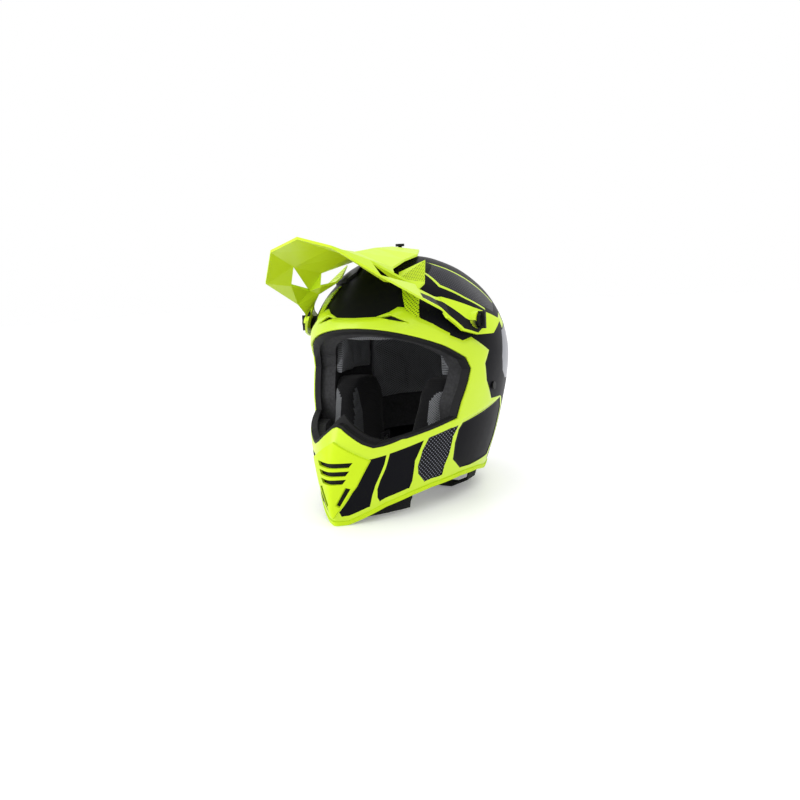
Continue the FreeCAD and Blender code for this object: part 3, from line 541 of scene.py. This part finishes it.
# Each material and the CAD nodes that wear it.
CAD_FINISH = [
    (FOAM_BLACK, ["impact_liner", "chin_liner", "cheek_base_left", "cheek_base_right"]),
    (RUBBER_BLACK, ["nose_guard", "eyeport_trim"]),
    (TRIM_YELLOW, ["rim_trim"]),
    (VENT_YELLOW, ["chin_vent", "rear_spoiler"]),
    (GAUZE, ["chin_vent_gauze"]),
    (VENT_HOLES, ["forehead_vent_left", "forehead_vent_right"]),
    (PLASTIC_BLACK, ["crown_vent_left", "crown_vent_right", "rear_vent_left", "rear_vent_right",
                     "neck_vent_left", "neck_vent_right", "peak_side_screw_left",
                     "peak_side_screw_right", "peak_centre_screw", "peak_side_boss_left",
                     "peak_side_boss_right", "peak_centre_boss", "strap_rivet_left", "strap_rivet_right"]),
    (STEEL_WIRE, ["peak_side_nut_left", "peak_side_nut_right", "peak_centre_nut", "d_ring_inner",
                  "d_ring_outer", "strap_snap"]),
    (WEBBING, ["strap_left", "strap_right"]),
]
for material, nodes in CAD_FINISH:
    for node in nodes:
        repaint(node, material)


# ---------------------------------------------------------------- peak: the CAD shape with its paint
ARM_STRIP = [(-118, 257), (-97, 247.6), (-73, 236), (-61.5, 224), (-48.5, 208.5), (-29.5, 202), (-21, 207),
             (-43, 220), (-63, 241), (-88, 254)]
PANEL_HOLES = [(-66, 272), (-60, 267.5), (-47, 275), (-38, 283), (-52, 278)]
ARM_LEAST_X = 60.0
PANEL_X = (38.0, 70.0)


def make_peak():
    """The peak with black strips on its arms, dots on its side panels and softened edges."""
    mesh = bmesh.new()
    mesh.from_mesh(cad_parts["peak"].data)
    bmesh.ops.scale(mesh, vec=(1 / MM, 1 / MM, 1 / MM), verts=mesh.verts)
    for outline in (ARM_STRIP, PANEL_HOLES):
        score(mesh, outline, SIDE)
    for face in mesh.faces:
        p = face.calc_center_median()
        face.smooth = False
        if contains(ARM_STRIP, p.y, p.z) and abs(p.x) > ARM_LEAST_X and face.normal.x * p.x > 0:
            face.material_index = 1
        elif contains(PANEL_HOLES, p.y, p.z) and PANEL_X[0] < abs(p.x) < PANEL_X[1]:
            face.material_index = 2
        else:
            face.material_index = 0
    peak = finish_mesh(mesh, "peak_painted", [PEAK_YELLOW, PLASTIC_BLACK, PERFORATED])
    softened = peak.modifiers.new("edges", "BEVEL")
    softened.width = 0.5 * MM
    softened.segments = 2
    softened.limit_method = "ANGLE"
    softened.angle_limit = math.radians(35)
    apply_modifiers(peak)
    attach(peak, "peak")
    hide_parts("peak")


make_peak()


# ---------------------------------------------------------------- soft pads
SIM_FRAMES = 20
PADS = {
    # node: (material, voxel, cap on how far a point may move, fill), lengths in metres
    "crown_pad": (MESH_CROWN, 0.005, 0.004, 0.7),
    "rear_pad": (MESH_FRONT, 0.006, 0.004, 0.7),
    "side_pad_left": (MESH_SIDE, 0.005, 0.004, 0.7),
    "side_pad_right": (MESH_SIDE, 0.005, 0.004, 0.7),
    "brow_pad": (MESH_FRONT, 0.004, 0.003, 0.8),
    "cheek_pad_left": (LINING_BLACK, 0.005, 0.005, 0.8),
    "cheek_pad_right": (LINING_BLACK, 0.005, 0.005, 0.8),
    "neck_roll": (LINING_BLACK, 0.005, 0.004, 0.8),
    "chin_curtain": (LINING_BLACK, 0.003, 0.002, 0.6),
}


def inflate(piece, cap):
    """Swells the piece with cloth under pressure, and moves no point further than cap."""
    rest = [v.co.copy() for v in piece.data.vertices]
    swell = piece.modifiers.new("swell", "CLOTH")
    swell.settings.use_pressure = True
    swell.settings.uniform_pressure_force = 4.0
    swell.settings.effector_weights.gravity = 0.0
    swell.settings.quality = 4
    swell.point_cache.frame_start = 1
    swell.point_cache.frame_end = SIM_FRAMES
    scene = bpy.context.scene
    for step in range(1, SIM_FRAMES + 1):
        scene.frame_set(step)
    apply_modifiers(piece)
    scene.frame_set(1)
    for vert, start in zip(piece.data.vertices, rest):
        move = vert.co - start
        if move.length > cap:
            vert.co = start + move * (cap / move.length)


OVAL_MIDDLE = (74.0, 108.0)
OVAL_HALF = (13.0, 24.0)
FACE_SIDE_X, FACE_SIDE_Y = 50.0, -34.0


def line_cheek(piece):
    """Grey mesh in an oval on a cheek pad's front, and soft lining where it meets the face."""
    piece.data.materials.append(MESH_FRONT)
    piece.data.materials.append(LINING_SOFT)
    for face in piece.data.polygons:
        x, y, z = abs(face.center.x) / MM, face.center.y / MM, face.center.z / MM
        across = (x - OVAL_MIDDLE[0]) / OVAL_HALF[0]
        up = (z - OVAL_MIDDLE[1]) / OVAL_HALF[1]
        if math.hypot(across, up) < 1.0 and face.normal.y < -0.2:
            face.material_index = 1
        elif abs(face.normal.x) > 0.8 and x < FACE_SIDE_X and y < FACE_SIDE_Y:
            face.material_index = 2


def make_pad(node, material, voxel, cap):
    """A padded piece grown from its CAD solid: evened out, rounded, swollen and smoothed."""
    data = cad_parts[node].data.copy()
    piece = bpy.data.objects.new(node + "_soft", data)
    bpy.context.scene.collection.objects.link(piece)
    remesh = piece.modifiers.new("even", "REMESH")
    remesh.mode = "VOXEL"
    remesh.voxel_size = voxel
    rounding = piece.modifiers.new("round", "SMOOTH")
    rounding.iterations = 6
    rounding.factor = 0.5
    apply_modifiers(piece)
    inflate(piece, cap)
    finer = piece.modifiers.new("finer", "SUBSURF")
    finer.levels = 1
    finer.render_levels = 1
    apply_modifiers(piece)
    for face in piece.data.polygons:
        face.use_smooth = True
    piece.data.materials.clear()
    piece.data.materials.append(material)
    if node.startswith("cheek_pad"):
        line_cheek(piece)
    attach(piece, BODY)
    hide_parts(node)


for node, (material, voxel, cap, fill) in PADS.items():
    make_pad(node, material, voxel, cap)


# ---------------------------------------------------------------- floor, light and camera
LIGHT_TARGET = (0.0, 0.0, 0.15)


def make_floor():
    """A pale studio floor that glows a little, so that it meets the white surroundings."""
    bpy.ops.mesh.primitive_plane_add(size=12.0, location=(0, 0, -0.0005))
    floor = bpy.context.object
    floor.name = "floor"
    n = Nodes("floor_pale")
    n.set(Roughness=0.42, Emission_Color=(1.0, 1.0, 1.0, 1.0), Emission_Strength=0.2)
    n.link(n.mix(n.noise(0.5), (0.85, 0.85, 0.86), (0.87, 0.87, 0.88)), n.shader.inputs["Base Color"])
    floor.data.materials.append(n.material)


def aim(thing, target):
    """Turns a lamp to face a place."""
    thing.rotation_euler = (Vector(target) - thing.location).to_track_quat("-Z", "Y").to_euler()


def make_light(name, place, size, power):
    """A round area lamp that faces the helmet."""
    lamp = bpy.data.lights.new(name, "AREA")
    lamp.shape = "DISK"
    lamp.size = size
    lamp.energy = power
    thing = bpy.data.objects.new(name, lamp)
    thing.location = place
    bpy.context.scene.collection.objects.link(thing)
    aim(thing, LIGHT_TARGET)


def make_camera():
    """The camera, from the wearer's front left and a little above."""
    lens = bpy.data.cameras.new("camera")
    lens.sensor_width = 36.0
    lens.lens = 32.95
    lens.shift_x = -0.0052
    lens.shift_y = -0.0287
    eye = bpy.data.objects.new("camera", lens)
    back, up = Vector((0.47414, -0.87019, 0.13404)), Vector((-0.02010, 0.14151, 0.98973))
    right = up.cross(back)
    turn = Matrix((right, up, back)).transposed().to_4x4()
    eye.matrix_world = Matrix.Translation((0.44996, -0.81998, 0.26940)) @ turn
    bpy.context.scene.collection.objects.link(eye)
    bpy.context.scene.camera = eye


make_floor()
make_light("key", (0.9, -1.2, 1.6), 1.2, 4.0)
make_light("fill", (-1.3, -1.5, 0.9), 1.4, 16.0)
make_light("top", (0.0, 0.3, 2.0), 1.8, 7.0)
make_light("rear", (0.6, 1.6, 1.0), 1.0, 2.0)
world = bpy.data.worlds.new("studio")
world.use_nodes = True
world.node_tree.nodes["Background"].inputs["Color"].default_value = (1.0, 1.0, 1.0, 1.0)
world.node_tree.nodes["Background"].inputs["Strength"].default_value = 1.0
bpy.context.scene.world = world
bpy.context.scene.view_settings.view_transform = "Standard"
make_camera()
